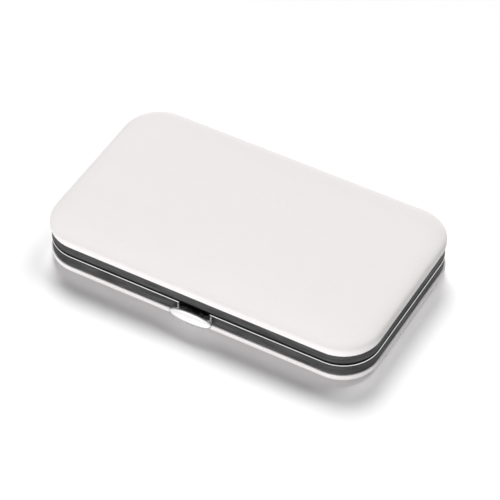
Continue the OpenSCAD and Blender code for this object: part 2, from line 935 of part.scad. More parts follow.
// Steel file with its tang inside the handle
module nail_file() {
    r = file_w / 2 - 0.5;
    shoulder = file_handle_l + tang_fit;
    color([0.7, 0.71, 0.73])
        translate([file_x, file_y, tool_z + (file_handle_t - file_t) / 2])
            linear_extrude(file_t) {
                translate([file_handle_l - tang_l, -tang_w / 2])
                    square([tang_l + over, tang_w]);
                polygon([
                    [shoulder, -r], [file_l - 14, -r], [file_l - 6, -r * 0.62], [file_l - 1.5, -r * 0.2],
                    [file_l, 0], [file_l - 1.5, r * 0.2], [file_l - 6, r * 0.62], [file_l - 14, r],
                    [shoulder, r]
                ]);
            }
}

module file_handle() {
    r = file_w / 2;
    color([0.12, 0.12, 0.13])
        translate([file_x, file_y, tool_z])
            difference() {
                union() {
                    linear_extrude(file_handle_t)
                        stadium(file_handle_l, r);
                    // Ferrule at the file's shoulder
                    translate([file_handle_l - ferrule_l, 0.4 - r, 0.5])
                        cube([ferrule_l, 2 * r - 0.8, file_handle_t - 1]);
                }
                // Slot for the tang
                translate([
                    file_handle_l - tang_l - tang_fit, -tang_w / 2 - tang_fit,
                    (file_handle_t - file_t) / 2 - tang_fit
                ])
                    cube([tang_l + over, tang_w + 2 * tang_fit, file_t + 2 * tang_fit]);
            }
}

// Turned handle with a spade at one end and a pick at the other
module cuticle_pusher() {
    l = pusher_l;
    w = spade_w / 2;
    steps = 14;
    color([0.8, 0.81, 0.83])
        translate([pusher_x, pusher_y, tool_z + pusher_r]) {
            rotate([0, 90, 0])
                rotate_extrude()
                    polygon(concat(
                        [[0, spade_l - 1]],
                        [for (i = [0:steps])
                            [
                                pusher_r * (0.52 + 0.48 * pow(sin(180 * i / steps), 0.6)),
                                spade_l - 1 + (l - spade_l - 9) * i / steps
                            ]],
                        [[0, l - 10]]
                    ));
            translate([0, 0, -spade_t / 2])
                linear_extrude(spade_t) {
                    polygon([
                        [0, -w * 0.43], [0.5, -w * 0.71], [1.6, -w * 0.93], [3.4, -w], [6, -w * 0.82], [spade_l, -0.8],
                        [spade_l, 0.8], [6, w * 0.82], [3.4, w], [1.6, w * 0.93], [0.5, w * 0.71], [0, w * 0.43]
                    ]);
                    polygon([[l - 11, -0.8], [l - 5, -1.3], [l, 0.6], [l - 5, 1.5], [l - 11, 0.8]]);
                }
        }
}

// Outlines of all recesses, with clearance round each implement
module recess_plans() {
    g = tool_gap;
    translate([pivot_x, scissors_y])
        for (m = [0, 1])
            mirror([0, m, 0])
                difference() {
                    half_plan(g);
                    bow_hole(-g);
                }
    translate([clipper_x - g, clipper_y - clipper_w / 2 - g])
        square([clipper_l - clipper_w / 2 + g, clipper_w + 2 * g]);
    translate([clipper_x + clipper_l - clipper_w / 2, clipper_y])
        circle(clipper_w / 2 + g);
    translate([tweezers_x, tweezers_y])
        tweezers_plan(g);
    translate([file_x - g, file_y])
        stadium(file_handle_l + 2 * g, file_w / 2 + g);
    translate([file_x + file_handle_l - ferrule_l, file_y - file_w / 2 + 0.4 - g])
        square([file_l - file_handle_l + ferrule_l + g, file_w - 0.8 + 2 * g]);
    translate([pusher_x - g, pusher_y])
        stadium(spade_l + 1 + 2 * g, spade_w / 2 + g);
    translate([pusher_x + 4, pusher_y - pusher_r - g])
        square([pusher_l - 4 + g, 2 * (pusher_r + g)]);
}

// ---- tool tray

module tool_tray() {
    color([0.1, 0.1, 0.11])
        difference() {
            translate([0, 0, tray_z0])
                linear_extrude(tray_z1 - tray_z0)
                    plan(tray_inset);
            // Bay for the clasp's spring
            translate([-clasp_bay_l / 2, tray_front - over, tray_z0 - over])
                cube([clasp_bay_l, clasp_bay_w + over, tray_z1 - tray_z0 + 2 * over]);
            translate([0, 0, recess_z])
                linear_extrude(tray_z1 - recess_z + over)
                    recess_plans();
            // Finger scoops
            translate([0, 0, tray_z1 - scoop_depth])
                linear_extrude(scoop_depth + over)
                    for (p = [
                        [tweezers_x + 0.36 * tweezers_l, (tweezers_y + file_y) / 2],
                        [clipper_x + 0.6 * clipper_l, clipper_y - clipper_w / 2 - 1],
                        [pusher_x + 0.55 * pusher_l, pusher_y - 1]
                    ])
                        translate(p)
                            circle(scoop_r);
        }
}

// ---- drawing

lower_frame();
upper_frame();
lower_shell();
upper_shell();
lower_padding();
upper_padding();
lower_cover();
upper_cover();
lower_lining();
upper_lining();
tool_tray();
left_hinge_lower_leaf();
right_hinge_lower_leaf();
left_hinge_upper_leaf();
right_hinge_upper_leaf();
left_hinge_pin();
right_hinge_pin();
lower_hinge_rivets();
upper_hinge_rivets();
clasp_knob();
clasp_tongue();
spring_hook();
clasp_rivets();
lower_scissor_half();
upper_scissor_half();
scissor_screw();
clipper_lower_jaw();
clipper_upper_jaw();
clipper_lever();
clipper_pin();
tweezers();
nail_file();
file_handle();
cuticle_pusher();
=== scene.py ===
"""Manicure set case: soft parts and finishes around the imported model."""

import json
import math
import random

import bmesh
import bpy
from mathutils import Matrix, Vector

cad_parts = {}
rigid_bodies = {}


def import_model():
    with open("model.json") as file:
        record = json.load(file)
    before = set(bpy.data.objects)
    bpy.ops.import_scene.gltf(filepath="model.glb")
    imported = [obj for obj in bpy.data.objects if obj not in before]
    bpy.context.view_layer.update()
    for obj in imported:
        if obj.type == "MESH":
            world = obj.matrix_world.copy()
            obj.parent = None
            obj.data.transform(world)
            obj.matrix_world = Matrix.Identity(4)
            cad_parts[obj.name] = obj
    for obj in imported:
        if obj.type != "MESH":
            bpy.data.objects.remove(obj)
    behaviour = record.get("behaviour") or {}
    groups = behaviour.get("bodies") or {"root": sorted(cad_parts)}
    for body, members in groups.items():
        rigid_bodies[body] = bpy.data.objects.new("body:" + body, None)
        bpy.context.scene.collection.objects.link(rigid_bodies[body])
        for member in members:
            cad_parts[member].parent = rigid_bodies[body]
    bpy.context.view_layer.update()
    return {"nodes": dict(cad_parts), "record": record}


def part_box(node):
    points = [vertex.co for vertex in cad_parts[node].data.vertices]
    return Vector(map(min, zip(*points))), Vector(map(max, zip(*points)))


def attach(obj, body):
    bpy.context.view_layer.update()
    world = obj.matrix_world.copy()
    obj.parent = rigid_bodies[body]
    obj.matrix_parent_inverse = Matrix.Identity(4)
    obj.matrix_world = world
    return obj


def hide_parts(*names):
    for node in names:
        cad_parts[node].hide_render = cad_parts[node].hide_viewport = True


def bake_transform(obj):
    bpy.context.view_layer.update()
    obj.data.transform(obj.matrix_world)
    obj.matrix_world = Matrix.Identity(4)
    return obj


bl_info = {
    "name": "Manicure Set Case",
    "version": (1, 0, 0),
    "blender": (4, 5, 0),
    "location": "View3D > Sidebar > Manicure Case",
    "description": "Padded covers, lining, clasp and finishes of a framed manicure set case",
    "category": "Object",
}

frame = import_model()

MM = 0.001
LOWER_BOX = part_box("lower_frame")
UPPER_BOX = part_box("upper_frame")


def mm(value):
    """Millimetres as metres."""
    return value * MM


# Settings


class CaseSizes(bpy.types.PropertyGroup):
    """Sizes of the case that the soft parts follow, in millimetres."""

    length: bpy.props.FloatProperty(
        name="Length", description="Length over the frames",
        default=(UPPER_BOX[1].x - UPPER_BOX[0].x) / MM, min=80.0, max=160.0
    )
    width: bpy.props.FloatProperty(
        name="Width", description="Width over the frames",
        default=(UPPER_BOX[1].y - UPPER_BOX[0].y) / MM, min=50.0, max=100.0
    )
    corner: bpy.props.FloatProperty(
        name="Corner radius", description="Outer radius of the frame corners",
        default=12.6, min=8.0, max=20.0
    )
    lower_edge: bpy.props.FloatProperty(
        name="Lower edge", description="Height of the lower frame's edge",
        default=LOWER_BOX[0].z / MM, min=2.0, max=8.0
    )
    upper_edge: bpy.props.FloatProperty(
        name="Upper edge", description="Height of the upper frame's edge",
        default=UPPER_BOX[1].z / MM, min=8.0, max=20.0
    )
    crown: bpy.props.FloatProperty(
        name="Crown", description="Rise of the padding above a frame's edge",
        default=4.2, min=2.0, max=8.0
    )
    fullness: bpy.props.FloatProperty(
        name="Fullness", description="How square the roll of the lid and of the inner layers is",
        default=4.2, min=2.0, max=5.0
    )
    base_fullness: bpy.props.FloatProperty(
        name="Base fullness", description="How square the roll of the base's leather and foam is",
        default=2.9, min=2.0, max=5.0
    )
    overhang: bpy.props.FloatProperty(
        name="Overhang", description="How far the leather stands out over the frame's face",
        default=0.38, min=0.0, max=2.0
    )


class CoverLook(bpy.types.PropertyGroup):
    """Padding, grain and colour of the leather and lining."""

    leather_color: bpy.props.FloatVectorProperty(
        name="Leather", description="Colour of the leather", subtype="COLOR",
        size=4, default=(0.805, 0.778, 0.777, 1.0), min=0.0, max=1.0
    )
    dome: bpy.props.FloatProperty(
        name="Dome", description="Rise of the lid's padding in the middle, in millimetres",
        default=0.45, min=0.0, max=2.0
    )
    side_bulge: bpy.props.FloatProperty(
        name="Side bulge",
        description="How far the base's padding swells at the two ends, in millimetres",
        default=0.2, min=0.0, max=2.0
    )
    ripple: bpy.props.FloatProperty(
        name="Ripple", description="Height of the soft unevenness, in millimetres",
        default=0.05, min=0.0, max=0.5
    )
    pucker: bpy.props.FloatProperty(
        name="Pucker", description="Height of the gathers at the corners, in millimetres",
        default=0.05, min=0.0, max=0.5
    )
    grain: bpy.props.FloatProperty(
        name="Grain", description="Width of a grain cell, in millimetres",
        default=0.55, min=0.1, max=3.0
    )
    lining_color: bpy.props.FloatVectorProperty(
        name="Lining", description="Colour of the lining", subtype="COLOR",
        size=4, default=(0.022, 0.022, 0.025, 1.0), min=0.0, max=1.0
    )


class MetalLook(bpy.types.PropertyGroup):
    """Colours and gloss of the metal pieces."""

    gunmetal: bpy.props.FloatVectorProperty(
        name="Gunmetal", description="Colour of the frame bands", subtype="COLOR",
        size=4, default=(0.078, 0.078, 0.08, 1.0), min=0.0, max=1.0
    )
    gunmetal_rough: bpy.props.FloatProperty(
        name="Gunmetal roughness", description="Roughness of the frame bands",
        subtype="FACTOR", default=0.62, min=0.0, max=1.0
    )
    polish: bpy.props.FloatVectorProperty(
        name="Polish", description="Colour of the polished lip and knob", subtype="COLOR",
        size=4, default=(0.9, 0.89, 0.89, 1.0), min=0.0, max=1.0
    )
    steel: bpy.props.FloatVectorProperty(
        name="Steel", description="Colour of the hinges, springs and implements", subtype="COLOR",
        size=4, default=(0.52, 0.53, 0.55, 1.0), min=0.0, max=1.0
    )


class StageLook(bpy.types.PropertyGroup):
    """Floor, lamps and camera."""

    eye: bpy.props.FloatVectorProperty(
        name="Eye", description="Place of the camera", subtype="XYZ",
        unit="LENGTH", default=(0.29415, -0.51845, 0.60952)
    )
    aim: bpy.props.FloatVectorProperty(
        name="Aim", description="Point that the camera looks at", subtype="XYZ",
        unit="LENGTH", default=(0.00458, -0.00672, 0.0128)
    )
    lens: bpy.props.FloatProperty(
        name="Lens", description="Focal length in millimetres on a 36 mm sensor",
        unit="CAMERA", default=191.57, min=20.0, max=400.0
    )
    world_light: bpy.props.FloatProperty(
        name="World light", description="Strength of the even light from all round",
        default=0.1, min=0.0, max=2.0
    )
    key_light: bpy.props.FloatProperty(
        name="Key light", description="Strength of the two soft lamps behind and above",
        default=3.28, min=0.0, max=10.0
    )
    front_light: bpy.props.FloatProperty(
        name="Front light", description="Strength of the low soft lamp at the front",
        default=2.6, min=0.0, max=10.0
    )
    floor_lift: bpy.props.FloatProperty(
        name="Floor lift", description="How much the floor is lifted towards white for the camera",
        subtype="FACTOR", default=0.065, min=0.0, max=1.0
    )


# Shader maths


class Term:
    """A shader socket that takes part in Python arithmetic."""

    def __init__(self, nodes, socket):
        self.nodes = nodes
        self.socket = socket

    def math(self, operation, *others, reflected=False):
        """A Math node on this and other values, with this one last when reflected."""
        terms = [self, *others]
        if reflected:
            terms.reverse()
        return self.nodes.add("ShaderNodeMath", {"operation": operation}, dict(enumerate(terms)))

    def __add__(self, other):
        return self.math("ADD", other)

    def __sub__(self, other):
        return self.math("SUBTRACT", other)

    def __mul__(self, other):
        return self.math("MULTIPLY", other)

    def __pow__(self, other):
        return self.math("POWER", other)

    def __radd__(self, other):
        return self.math("ADD", other, reflected=True)

    def __rsub__(self, other):
        return self.math("SUBTRACT", other, reflected=True)

    def __rmul__(self, other):
        return self.math("MULTIPLY", other, reflected=True)

    def __rpow__(self, other):
        return self.math("POWER", other, reflected=True)

    def __abs__(self):
        return self.math("ABSOLUTE")

    def most(self, other):
        """The larger of this and another value."""
        return self.math("MAXIMUM", other)

    def least(self, other):
        """The smaller of this and another value."""
        return self.math("MINIMUM", other)

    def step(self, low, high):
        """0 below low, 1 above high, and smooth between them."""
        return self.nodes.add(
            "ShaderNodeMapRange",
            {"interpolation_type": "SMOOTHSTEP"},
            {"Value": self, "From Min": low, "From Max": high},
        )


class Nodes:
    """The node tree of a material or of the world."""

    def __init__(self, owner, output):
        owner.use_nodes = True
        self.tree = owner.node_tree
        self.tree.nodes.clear()
        self.output = self.tree.nodes.new(output)

    def add(self, kind, settings=None, sockets=None, out=0):
        """Adds a node, sets it up, feeds its sockets and gives one of its outputs."""
        node = self.tree.nodes.new(kind)
        for key, value in (settings or {}).items():
            setattr(node, key, value)
        for key, value in (sockets or {}).items():
            if isinstance(value, Term):
                self.tree.links.new(value.socket, node.inputs[key])
            else:
                node.inputs[key].default_value = value
        return Term(self, node.outputs[out])

    def show(self, shader):
        """Sends a shader to the output."""
        self.tree.links.new(shader.socket, self.output.inputs["Surface"])


class Finish(Nodes):
    """One material, built node by node."""

    def __init__(self, name):
        self.material = bpy.data.materials.new(name)
        super().__init__(self.material, "ShaderNodeOutputMaterial")

    def place(self):
        """The point on the piece, in metres in the frame of the whole case."""
        return self.add("ShaderNodeTexCoord", out="Object")

    def axes(self, point):
        """The three numbers of a point."""
        split = self.add("ShaderNodeSeparateXYZ", sockets={0: point})
        outputs = split.socket.node.outputs
        return [Term(self, outputs[i]) for i in range(3)]

    def scaled(self, point, factors):
        """A point with each of its numbers multiplied, which stretches the pattern that follows."""
        return self.add("ShaderNodeVectorMath", {"operation": "MULTIPLY"}, {0: point, 1: factors})

    def noise(self, point, scale, detail=3.0, rough=0.5, out="Fac"):
        """Soft noise, with its scale in waves per metre."""
        sockets = {"Vector": point, "Scale": scale, "Detail": detail, "Roughness": rough}
        return self.add("ShaderNodeTexNoise", sockets=sockets, out=out)

    def cells(self, point, scale, feature="DISTANCE_TO_EDGE"):
        """Distances in a pattern of cells, with its scale in cells per metre."""
        sockets = {"Vector": point, "Scale": scale}
        return self.add("ShaderNodeTexVoronoi", {"feature": feature}, sockets, out="Distance")

    def mix(self, factor, low, high):
        """A colour between two others. Sockets 6 and 7 and output 2 are the Mix node's colours."""
        return self.add(
            "ShaderNodeMix", {"data_type": "RGBA"}, {"Factor": factor, 6: low, 7: high}, out=2
        )

    def bump(self, height, distance, strength=1.0, under=None):
        """A normal from a height, laid over another normal if one is given."""
        sockets = {"Height": height, "Distance": distance, "Strength": strength}
        if under is not None:
            sockets["Normal"] = under
        return self.add("ShaderNodeBump", sockets=sockets)

    def principled(self, sockets):
        """Closes the material with one shader."""
        self.show(self.add("ShaderNodeBsdfPrincipled", sockets=sockets))
        return self.material


def shade(r, g, b):
    """An opaque colour."""
    return (r, g, b, 1.0)


def times(colour, factor):
    """A lighter or darker colour, kept within white."""
    return shade(*[min(channel * factor, 1.0) for channel in colour[:3]])


# Materials


def leather_finish(look):
    """White leather cloth: fine cells, soft creases and a satin top coat."""
    made = Finish("white_leather")
    point = made.place()
    drift = made.noise(point, 9.0, detail=2.0)
    warp = made.add(
        "ShaderNodeVectorMath", {"operation": "SCALE"},
        {0: made.noise(point, 700.0, detail=2.0, out="Color"), "Scale": mm(0.35)},
    )
    warped = made.add("ShaderNodeVectorMath", {"operation": "ADD"}, {0: point, 1: warp})
    cells = made.cells(warped, 1.0 / mm(look.grain)).step(0.0, 0.32)
    pores = made.noise(point, 2600.0, detail=2.0)
    height = cells * 0.8 + pores * 0.2
    creases = made.noise(made.scaled(point, (1.0, 2.2, 1.0)), 160.0, detail=4.0, rough=0.6)
    white = tuple(look.leather_color)
    tone = made.mix(drift.step(0.3, 0.7), times(white, 0.985), white)
    colour = made.mix((1.0 - cells) * 0.35, tone, times(white, 0.9))
    soft = made.bump(creases, mm(0.06), strength=0.25)
    return made.principled({
        "Base Color": colour,
        "Roughness": 0.54 + creases * 0.1,
        "Normal": made.bump(height, mm(0.025), strength=0.55, under=soft),
        "Specular IOR Level": 0.3,
        "Coat Weight": 0.05,
        "Coat Roughness": 0.4,
    })


def outward(made, point, sizes):
    """How far a point stands proud of the frame's outer face, in metres."""
    x, y, _ = made.axes(point)
    corner = mm(sizes.corner)
    out_x = (abs(x) - (mm(sizes.length / 2) - corner)).most(0.0)
    out_y = (abs(y) - (mm(sizes.width / 2) - corner)).most(0.0)
    return (out_x * out_x + out_y * out_y) ** 0.5 - corner


# Roughness of the polished lip
POLISHED = 0.14


def gunmetal_finish(look, sizes):
    """Dark plated band with faint streaks, with painted shade along the lip and, fainter, at the
    band's top and bottom edges against the leather. Its lip and cheeks are bright.
    """
    made = Finish("gunmetal_frame")
    point = made.place()
    proud = outward(made, point, sizes).step(mm(0.01), mm(0.05))
    lines = made.noise(made.scaled(point, (90.0, 90.0, 2600.0)), 1.0)
    cloud = made.noise(made.scaled(point, (1.0, 1.0, 5.0)), 110.0)
    dark = tuple(look.gunmetal)
    streaks = cloud * 0.6 + lines * 0.4
    plating = made.mix(streaks.step(0.35, 0.65), times(dark, 0.7), times(dark, 1.35))
    _, _, height = made.axes(point)
    mouth = (LOWER_BOX[1].z + UPPER_BOX[0].z) / 2
    # Painted shade: beside the lip, and half as much at the band's edges under the leather, the
    # colour goes almost black, standing in for the shadow of the lip and of the leather's overhang
    from_lip = abs(height - mouth).step(mm(0.55), mm(1.1))
    from_edge = (height - LOWER_BOX[0].z).least(UPPER_BOX[1].z - height).step(mm(0.05), mm(0.5))
    outside_painted_shade = from_lip * (0.5 + from_edge * 0.5)
    band = made.mix(outside_painted_shade, times(dark, 0.12), plating)
    satin = look.gunmetal_rough + lines * 0.06 + cloud * 0.04
    return made.principled({
        "Base Color": made.mix(proud, band, tuple(look.polish)),
        "Metallic": 1.0,
        "Roughness": satin * (1.0 - proud) + proud * POLISHED,
        "Normal": made.bump(lines, mm(0.004), strength=0.2),
    })


def polished_finish(look):
    """Satin-polished knob."""
    made = Finish("satin_chrome")
    point = made.place()
    lines = made.noise(made.scaled(point, (500.0, 9000.0, 9000.0)), 1.0)
    smears = made.noise(point, 320.0)
    return made.principled({
        "Base Color": times(look.polish, 0.96),
        "Metallic": 1.0,
        "Roughness": 0.3 + lines * 0.06 + smears * 0.06,
        "Normal": made.bump(lines, mm(0.003), strength=0.15),
    })


def steel_finish(name, look, tone, rough):
    """Plated or tempered steel with fine brush lines."""
    made = Finish(name)
    point = made.place()
    lines = made.noise(made.scaled(point, (300.0, 6000.0, 6000.0)), 1.0, detail=4.0, rough=0.6)
    cloud = made.noise(point, 220.0)
    steel = tuple(look.steel)
    return made.principled({
        "Base Color": made.mix(cloud.step(0.3, 0.7), times(steel, tone * 0.9), times(steel, tone)),
        "Metallic": 1.0,
        "Roughness": rough + lines * 0.12,
        "Normal": made.bump(lines, mm(0.004), strength=0.3),
    })


def lining_finish(look):
    """Black lining cloth with a fine twill."""
    made = Finish("lining_cloth")
    point = made.place()
    x, y, _ = made.axes(point)
    pitch = math.tau / mm(0.42)
    warp = ((x + y * 0.5) * pitch).math("SINE")
    weft = ((y - x * 0.25) * (pitch * 1.6)).math("SINE")
    threads = warp * 0.3 + weft * 0.2 + 0.5
    fuzz = made.noise(point, 1500.0)
    black = tuple(look.lining_color)
    return made.principled({
        "Base Color": made.mix(threads * 0.6 + fuzz * 0.4, times(black, 0.6), times(black, 1.7)),
        "Roughness": 0.8 + fuzz * 0.15,
        "Normal": made.bump(threads * 0.7 + fuzz * 0.3, mm(0.05), strength=0.6),
        "Sheen Weight": 0.3,
        "Sheen Roughness": 0.4,
    })


def flock_finish():
    """Velvet-like flock on the moulded tray."""
    made = Finish("tray_flock")
    point = made.place()
    pile = made.noise(point, 3800.0, rough=0.7)
    nap = made.noise(made.scaled(point, (1.0, 1.8, 1.0)), 120.0)
    deep, lit = shade(0.009, 0.009, 0.011), shade(0.045, 0.045, 0.052)
    return made.principled({
        "Base Color": made.mix(pile * 0.5 + nap * 0.5, deep, lit),
        "Roughness": 0.88 + pile * 0.1,
        "Normal": made.bump(pile, mm(0.08), strength=0.7),
        "Sheen Weight": 0.5,
        "Sheen Roughness": 0.35,
    })


def board_finish():
    """Moulded black shell."""
    made = Finish("shell_board")
    point = made.place()
    tooth = made.noise(point, 1400.0)
    return made.principled({
        "Base Color": made.mix(tooth, shade(0.03, 0.03, 0.032), shade(0.05, 0.05, 0.054)),
        "Roughness": 0.6 + tooth * 0.15,
        "Normal": made.bump(tooth, mm(0.02), strength=0.4),
    })


def foam_finish():
    """Cream foam."""
    made = Finish("cream_foam")
    point = made.place()
    holes = made.cells(point, 1900.0, "F1")
    return made.principled({
        "Base Color": made.mix(holes, shade(0.62, 0.55, 0.38), shade(0.82, 0.76, 0.58)),
        "Roughness": 0.9 + holes * 0.05,
        "Normal": made.bump(holes, mm(0.15), strength=0.7),
    })


def file_finish():
    """Etched nail file: crossed teeth and bright worn grains."""
    made = Finish("file_steel")
    point = made.place()
    x, y, _ = made.axes(point)
    pitch = math.tau / mm(0.32)
    teeth = ((x + y) * pitch).math("SINE") * 0.5 + ((x - y) * pitch).math("SINE") * 0.5
    grains = made.noise(point, 3200.0, detail=2.0)
    ground, worn = shade(0.26, 0.265, 0.275), shade(0.62, 0.63, 0.64)
    return made.principled({
        "Base Color": made.mix(grains.step(0.35, 0.7), ground, worn),
        "Metallic": 1.0,
        "Roughness": 0.38 + grains * 0.2,
        "Normal": made.bump(teeth * 0.5 + grains * 0.5, mm(0.04), strength=0.8),
    })


def handle_finish():
    """Moulded black plastic with a fine spark texture."""
    made = Finish("handle_plastic")
    point = made.place()
    spark = made.noise(point, 2400.0, detail=2.0)
    wear = made.noise(point, 90.0)
    return made.principled({
        "Base Color": made.mix(wear, shade(0.018, 0.018, 0.02), shade(0.032, 0.032, 0.034)),
        "Roughness": 0.32 + spark * 0.16,
        "Normal": made.bump(spark, mm(0.015), strength=0.35),
    })


# Meshes


# Points nearer than this to each other are one point, and nearer to a cut they lie on it, in metres
WELD, ON_CUT = 1e-7, 1e-8


def new_object(name, bm, material):
    """Turns built faces into an object in the scene."""
    mesh = bpy.data.meshes.new(name)
    bm.to_mesh(mesh)
    bm.free()
    piece = bpy.data.objects.new(name, mesh)
    bpy.context.scene.collection.objects.link(piece)
    mesh.materials.append(material)
    return piece


def riding_piece(name, bm, material, body, slot, *replaced):
    """Turns built faces into a smooth piece that rides on its body."""
    bmesh.ops.remove_doubles(bm, verts=bm.verts, dist=WELD)
    bmesh.ops.recalc_face_normals(bm, faces=bm.faces)
    piece = new_object(name, bm, material)
    piece.data.shade_smooth()
    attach(piece, body)
    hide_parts(*replaced)
    return piece


def dress(piece, material):
    """Puts a finish on every face of a carried-over node."""
    for holder in [piece, *piece.children_recursive]:
        if holder.type == "MESH":
            for slot in holder.material_slots:
                slot.material = material


def dress_slots(by_slot):
    """Puts finishes on all carried-over nodes of the named material slots."""
    slots = {part["node"]: part["material_slot"] for part in frame["record"]["subparts"]}
    for node, piece in frame["nodes"].items():
        if slots.get(node) in by_slot:
            dress(piece, by_slot[slots[node]])


class Plan:
    """The rounded outline of the case, sampled so that every inset has matching points.

    Its core is the rectangle between the corners' centres.
    """

    # Steps along a long side, along a short side and round a corner
    LONG, SHORT, ARC = 72, 40, 12

    def __init__(self, sizes):
        self.corner = sizes.corner
        self.half_l = sizes.length / 2
        self.half_w = sizes.width / 2
        self.core_x = self.half_l - self.corner
        self.core_y = self.half_w - self.corner

    def inset_of(self, x, y):
        """How far a point lies inside the outline."""
        out_x = max(abs(x) - self.core_x, 0.0)
        out_y = max(abs(y) - self.core_y, 0.0)
        if out_x == 0.0 and out_y == 0.0:
            return self.corner + min(self.core_x - abs(x), self.core_y - abs(y))
        return self.corner - math.hypot(out_x, out_y)

    def ring(self, inset):
        """Points round the outline at an inset, each with its nearest point of the core."""
        reach = self.corner - inset
        spots = []
        sides = (
            ((-self.core_x, -self.core_y), (self.core_x, -self.core_y), (0, -1), self.LONG),
            ((self.core_x, -self.core_y), (self.core_x, self.core_y), (1, 0), self.SHORT),
            ((self.core_x, self.core_y), (-self.core_x, self.core_y), (0, 1), self.LONG),
            ((-self.core_x, self.core_y), (-self.core_x, -self.core_y), (-1, 0), self.SHORT),
        )
        for (x0, y0), (x1, y1), (nx, ny), steps in sides:
            for i in range(steps):
                u = i / steps
                spots.append((x0 + (x1 - x0) * u, y0 + (y1 - y0) * u, nx, ny))
            start = math.atan2(ny, nx)
            for i in range(self.ARC):
                angle = start + math.pi / 2 * i / self.ARC
                spots.append((x1, y1, math.cos(angle), math.sin(angle)))
        return [(x + nx * reach, y + ny * reach, x, y) for x, y, nx, ny in spots]


# Steps up a padded roll
CROWN_STEPS = 26


def crown_path(sizes, inset, rise, fullness):
    """Stations [inset, height] up a padded roll, ending at the flat of the crown."""
    width = sizes.corner - inset
    power = 2.0 / fullness
    path = []
    for i in range(CROWN_STEPS):
        angle = math.pi / 2 * i / CROWN_STEPS
        across, up = 1.0 - math.cos(angle) ** power, math.sin(angle) ** power
        path.append((inset + width * across, rise * up))
    return [*path, (sizes.corner, rise)]


# Nearer to the corner's centre than this a ring doesn't swell, in millimetres
LEAST_REACH = 0.5
# Below this height a layer has no unevenness, in millimetres
LEVEL_UP_TO = 0.2


class SoftSheet:
    """A closed sheet over the plan, with an outer and an inner surface."""

    def __init__(self, plan, to_height, relief, gap_half):
        self.plan = plan
        self.to_height = to_height
        self.relief = relief
        self.gap_half = gap_half
        self.bm = bmesh.new()

    def vert(self, x, y, z):
        """A point. Low down it is level, and in the front's gap nothing is turned in."""
        if y < 0.0 and abs(x) < self.gap_half:
            z = max(z, 0.0)
        if self.relief and z > LEVEL_UP_TO:
            z += self.relief(x, y)
        return self.bm.verts.new(Vector((x, y, self.to_height(z))) * MM)

    def surface(self, path, flip, swell=None):
        """Rings along a path and a grid over the middle. Gives the first ring."""
        rings = []
        for inset, height in path:
            reach = self.plan.corner - inset
            ring = []
            for x, y, core_x, core_y in self.plan.ring(inset):
                if swell and reach > LEAST_REACH:
                    grown = swell(x, y, height)
                    x += (x - core_x) / reach * grown
                    y += (y - core_y) / reach * grown
                ring.append(self.vert(x, y, height))
            rings.append(ring)
        for low, high in zip(rings, rings[1:]):
            for i in range(len(low)):
                j = (i + 1) % len(low)
                self.face([low[i], low[j], high[j], high[i]], flip)
        self.grid(path[-1][1], flip)
        return rings[0]

    def face(self, points, flip):
        self.bm.faces.new(points[::-1] if flip else points)

    def grid(self, height, flip):
        """The flat of the crown, between the corners' centres."""
        plan = self.plan
        rows = []
        for j in range(plan.SHORT + 1):
            y = -plan.core_y + 2 * plan.core_y * j / plan.SHORT
            rows.append([
                self.vert(-plan.core_x + 2 * plan.core_x * i / plan.LONG, y, height)
                for i in range(plan.LONG + 1)
            ])
        for low, high in zip(rows, rows[1:]):
            for i in range(plan.LONG):
                self.face([low[i], low[i + 1], high[i + 1], high[i]], flip)

    def close(self, outer, inner):
        """The edge strip that joins the first rings of the two surfaces."""
        for i in range(len(outer)):
            j = (i + 1) % len(outer)
            self.face([outer[i], inner[i], inner[j], outer[j]], False)


# The leather's soft waves: how many, their pitches per millimetre and their weights
WAVES = 9
WAVE_PITCH = (0.09, 0.34)
WAVE_WEIGHT = (0.4, 1.0)
# What the sum of the waves is divided by, so that the ripple setting is about their height
WAVE_SUM = 3.0
# The gathers at the corners: how many, their folds in a full turn, and the inset and half width of
# the ring that they lie on, in millimetres
GATHERS = 5
GATHER_FOLDS = (9.0, 26.0)
GATHER_INSET, GATHER_REACH = 1.4, 1.5
# Inset by which the dome and the waves have their full height, in millimetres
WAVES_FULL_AT = 9.0


def unit(value):
    """A value kept between 0 and 1."""
    return min(max(value, 0.0), 1.0)


def soft_relief(plan, look, seed, dome):
    """Unevenness of a padded surface: a low dome, soft ripples and gathers at the corners."""
    draw = random.Random(seed)
    turn = (0.0, math.tau)
    waves = [
        [draw.uniform(*span) for span in (WAVE_PITCH, turn, turn, WAVE_WEIGHT)]
        for _ in range(WAVES)
    ]
    gathers = [(draw.uniform(*GATHER_FOLDS), draw.uniform(*turn)) for _ in range(GATHERS)]

    def relief(x, y):
        inset = plan.inset_of(x, y)
        inner = unit(inset / WAVES_FULL_AT)
        inner = inner * inner * (3.0 - 2.0 * inner)
        rise = dome * (1.0 - (x / plan.half_l) ** 2) * (1.0 - (y / plan.half_w) ** 2)
        ripple = sum(
            weight * math.sin(pitch * (x * math.cos(way) + y * math.sin(way)) + phase)
            for pitch, way, phase, weight in waves
        )
        out_x = max(abs(x) - plan.core_x, 0.0)
        out_y = max(abs(y) - plan.core_y, 0.0)
        angle = math.atan2(out_y, out_x)
        at_corner = math.sin(2.0 * angle) if out_x > 0.0 and out_y > 0.0 else 0.0
        near_edge = math.exp(-((inset - GATHER_INSET) / GATHER_REACH) ** 2)
        gather = sum(math.sin(folds * angle + phase) for folds, phase in gathers) / GATHERS
        lift = rise * inner + look.ripple * ripple / WAVE_SUM * inner
        return lift + look.pucker * gather * at_corner * near_edge

    return relief


# The ends' swelling starts at this share of a long side's straight half
SWELL_FROM = 0.9
# At 1 the swelling is fullest halfway up the padding's side, and below 1 nearer to the frame
SWELL_SKEW = 0.8
# In front of this line the swelling has half its size, and it is fullest half a span behind it
SWELL_FRONT, SWELL_SPAN = 26.0, 76.0


